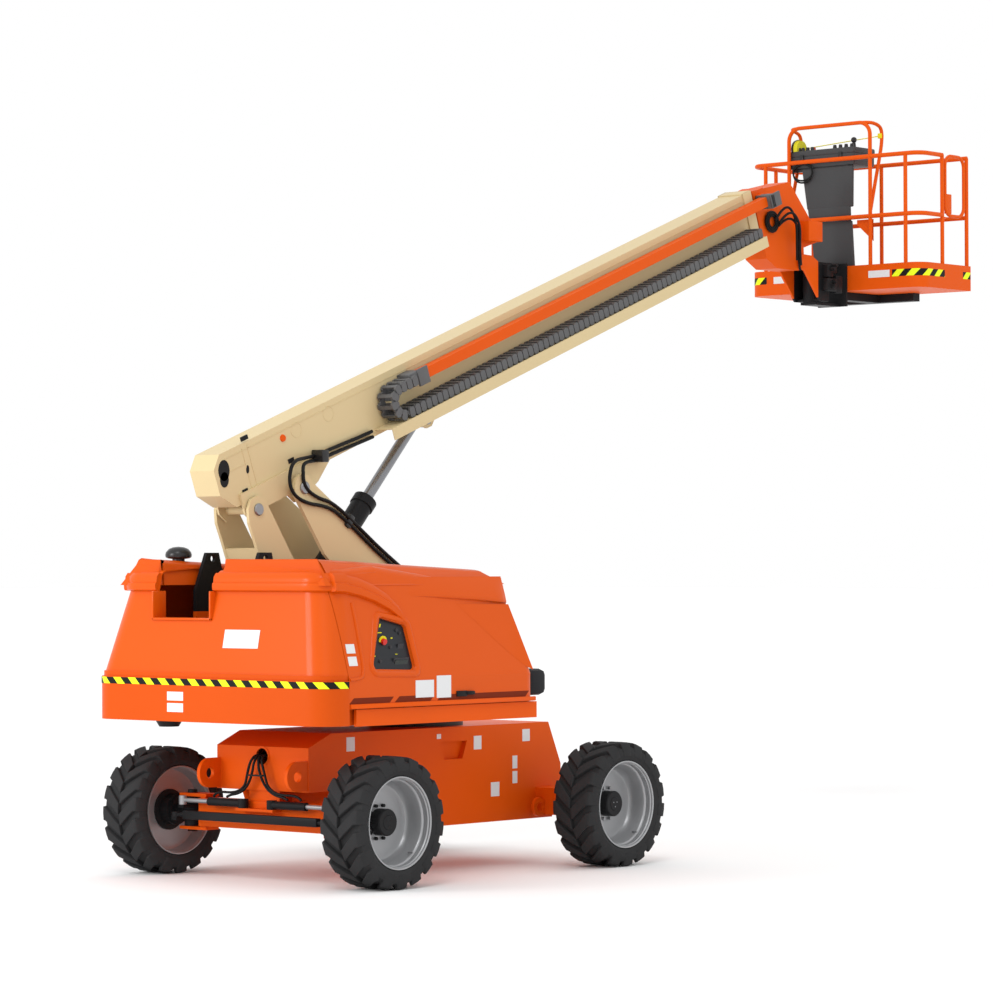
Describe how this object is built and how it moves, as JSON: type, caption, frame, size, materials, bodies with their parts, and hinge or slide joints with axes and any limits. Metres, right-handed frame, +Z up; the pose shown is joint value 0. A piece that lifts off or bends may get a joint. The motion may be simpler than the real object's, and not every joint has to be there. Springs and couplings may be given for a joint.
{
  "type": "telescopic boom lift",
  "caption": "Self-propelled work platform on a telescoping box boom, on a swinging turntable with counterweight over a four-wheel chassis.",
  "frame": {"origin": "on the ground, on the chassis centreline, under the middle of the parked machine's length", "axes": "+X from the counterweight to the platform, +Y to the machine's left, +Z up"},
  "size_m": [8.7349, 2.524, 6.0468],
  "materials": {
    "tyre": "black rubber",
    "rim": "silver paint",
    "dark_steel": "dark steel",
    "orange_paint": "gloss orange paint",
    "orange_hood": "gloss orange moulding",
    "orange_cast": "painted casting",
    "chrome_rod": "polished rod",
    "dark_paint": "black paint",
    "dark_plastic": "dark grey moulding",
    "engine_iron": "dull engine casting",
    "tan_paint": "cream paint",
    "chain_plastic": "grey links"
  },
  "bodies": {
    "chassis": {"chassis_frame": "orange_paint", "steer_axle": "orange_paint", "drive_axle": "orange_paint", "swing_bearing": "dark_steel"},
    "knuckle_left": {"knuckle_left": "orange_paint"},
    "knuckle_right": {"knuckle_right": "orange_paint"},
    "tie_rod": {"tie_rod": "dark_steel"},
    "steer_barrel_left": {"steer_barrel_left": "dark_steel"},
    "steer_barrel_right": {"steer_barrel_right": "dark_steel"},
    "steer_rod_left": {"steer_rod_left": "chrome_rod"},
    "steer_rod_right": {"steer_rod_right": "chrome_rod"},
    "wheel_steer_left": {"tyre_steer_left": "tyre", "wheel_steer_left": "rim"},
    "wheel_steer_right": {"tyre_steer_right": "tyre", "wheel_steer_right": "rim"},
    "wheel_drive_left": {"tyre_drive_left": "tyre", "wheel_drive_left": "rim"},
    "wheel_drive_right": {"tyre_drive_right": "tyre", "wheel_drive_right": "rim"},
    "turntable": {"turntable_base": "orange_paint", "lift_frame": "dark_paint", "counterweight": "orange_cast", "rear_cover": "orange_hood", "control_panel": "dark_plastic", "engine_block": "engine_iron"},
    "hood_near": {"hood_near": "orange_hood"},
    "hood_far": {"hood_far": "orange_hood", "precleaner": "dark_plastic"},
    "lift_arm": {"lift_arm": "tan_paint"},
    "boom_base": {"boom_base": "tan_paint", "cable_tray": "tan_paint", "cable_chain": "chain_plastic"},
    "rear_link": {"rear_link": "tan_paint"},
    "lift_rod": {"lift_rod": "chrome_rod"},
    "lift_barrel": {"lift_barrel": "dark_paint"},
    "boom_mid": {"boom_mid": "tan_paint"},
    "boom_fly": {"boom_fly": "tan_paint", "fly_nose": "orange_paint", "carrier_tube": "orange_paint"},
    "platform_support": {"platform_support": "orange_paint"},
    "platform": {"platform_mount": "dark_paint", "platform_floor": "orange_paint", "platform_rails": "orange_paint", "control_console": "dark_plastic"},
    "platform_gate": {"platform_gate": "orange_paint"}
  },
  "joints": [
    {"name": "swing", "type": "hinge", "parent": "chassis", "child": "turntable", "pos_m": [-2.182, 0, 1.13], "axis": [0, 0, 1], "continuous": true},
    {"name": "steer_left", "type": "hinge", "parent": "chassis", "child": "knuckle_left", "pos_m": [-3.722, 0.78, 0.459], "axis": [0, 0, 1], "range_deg": [-38, 38]},
    {"name": "steer_right", "type": "hinge", "parent": "chassis", "child": "knuckle_right", "pos_m": [-3.722, -0.78, 0.459], "axis": [0, 0, 1], "range_deg": [-38, 38]},
    {"name": "tie_rod_slide", "type": "slide", "parent": "chassis", "child": "tie_rod", "axis": [0, 1, 0], "range_m": [-0.134, 0.134]},
    {"name": "steer_barrel_left_turn", "type": "hinge", "parent": "chassis", "child": "steer_barrel_left", "pos_m": [-3.852, 0.14, 0.545], "axis": [0, 0, 1], "range_deg": [-2, 2]},
    {"name": "steer_barrel_right_turn", "type": "hinge", "parent": "chassis", "child": "steer_barrel_right", "pos_m": [-3.852, -0.14, 0.545], "axis": [0, 0, 1], "range_deg": [-2, 2]},
    {"name": "steer_rod_left_slide", "type": "slide", "parent": "steer_barrel_left", "child": "steer_rod_left", "axis": [0, 1, 0], "range_m": [-0.088, 0.088]},
    {"name": "steer_rod_right_slide", "type": "slide", "parent": "steer_barrel_right", "child": "steer_rod_right", "axis": [0, -1, 0], "range_m": [-0.088, 0.088]},
    {"name": "wheel_steer_left_spin", "type": "hinge", "parent": "knuckle_left", "child": "wheel_steer_left", "pos_m": [-3.722, 1.077, 0.459], "axis": [0, 1, 0], "continuous": true},
    {"name": "wheel_steer_right_spin", "type": "hinge", "parent": "knuckle_right", "child": "wheel_steer_right", "pos_m": [-3.722, -1.077, 0.459], "axis": [0, 1, 0], "continuous": true},
    {"name": "wheel_drive_left_spin", "type": "hinge", "parent": "chassis", "child": "wheel_drive_left", "pos_m": [-1.242, 1.077, 0.459], "axis": [0, 1, 0], "continuous": true},
    {"name": "wheel_drive_right_spin", "type": "hinge", "parent": "chassis", "child": "wheel_drive_right", "pos_m": [-1.242, -1.077, 0.459], "axis": [0, 1, 0], "continuous": true},
    {"name": "hood_near_lift", "type": "hinge", "parent": "turntable", "child": "hood_near", "pos_m": [-3.182, 0.03, 2.225], "axis": [-1, 0, 0], "range_deg": [0, 60]},
    {"name": "hood_far_lift", "type": "hinge", "parent": "turntable", "child": "hood_far", "pos_m": [-3.182, 0.63, 2.225], "axis": [1, 0, 0], "range_deg": [0, 60]},
    {"name": "lift_arm_turn", "type": "hinge", "parent": "turntable", "child": "lift_arm", "pos_m": [-2.282, 0.33, 1.8], "axis": [0, -1, 0], "range_deg": [-11, 6]},
    {"name": "boom_lift", "type": "hinge", "parent": "lift_arm", "child": "boom_base", "pos_m": [-3.248, 0.33, 2.787], "axis": [0, -1, 0], "range_deg": [-30.4, 61.9]},
    {"name": "rear_link_turn", "type": "hinge", "parent": "boom_base", "child": "rear_link", "pos_m": [-3.67915, 0.33, 2.62666], "axis": [0, -1, 0], "range_deg": [-73, 36]},
    {"name": "lift_rod_turn", "type": "hinge", "parent": "boom_base", "child": "lift_rod", "pos_m": [-1.8074, 0.33, 3.32276], "axis": [0, -1, 0], "range_deg": [-22, 11]},
    {"name": "lift_barrel_slide", "type": "slide", "parent": "lift_rod", "child": "lift_barrel", "axis": [-0.6769, 0, -0.7361], "range_m": [-0.36, 0.732]},
    {"name": "telescope", "type": "slide", "parent": "boom_base", "child": "boom_mid", "axis": [0.9373, 0, 0.3486], "range_m": [0, 4.8]},
    {"name": "telescope_fly", "type": "slide", "parent": "boom_mid", "child": "boom_fly", "axis": [0.9373, 0, 0.3486], "range_m": [0, 4.8]},
    {"name": "platform_level", "type": "hinge", "parent": "boom_fly", "child": "platform_support", "pos_m": [2.98291, 0.33, 4.79485], "axis": [0, -1, 0], "range_deg": [-52, 26]},
    {"name": "platform_rotate", "type": "hinge", "parent": "platform_support", "child": "platform", "pos_m": [3.30791, 0.33, 4.7], "axis": [0, 0, 1], "range_deg": [-90, 90]},
    {"name": "gate_swing", "type": "hinge", "parent": "platform", "child": "platform_gate", "pos_m": [4.01191, -0.5407, 5.4], "axis": [0, 0, 1], "range_deg": [0, 90]}
  ],
  "couplings": [
    {"joint": "steer_right", "follows": "steer_left", "ratio": 1},
    {"joint": "tie_rod_slide", "follows": "steer_left", "m_per_rad": -0.2},
    {"joint": "steer_barrel_left_turn", "follows": "steer_left", "ratio": -0.049},
    {"joint": "steer_barrel_right_turn", "follows": "steer_left", "ratio": -0.049},
    {"joint": "steer_rod_left_slide", "follows": "steer_left", "m_per_rad": -0.13},
    {"joint": "steer_rod_right_slide", "follows": "steer_left", "m_per_rad": 0.13},
    {"joint": "lift_arm_turn", "follows": "boom_lift", "ratio": -0.16667},
    {"joint": "rear_link_turn", "follows": "boom_lift", "ratio": -1.1692},
    {"joint": "lift_rod_turn", "follows": "boom_lift", "ratio": -0.34583},
    {"joint": "lift_barrel_slide", "follows": "boom_lift", "m_per_rad": 0.67583},
    {"joint": "telescope_fly", "follows": "telescope", "ratio": 1},
    {"joint": "platform_level", "follows": "boom_lift", "ratio": -0.83333}
  ]
}
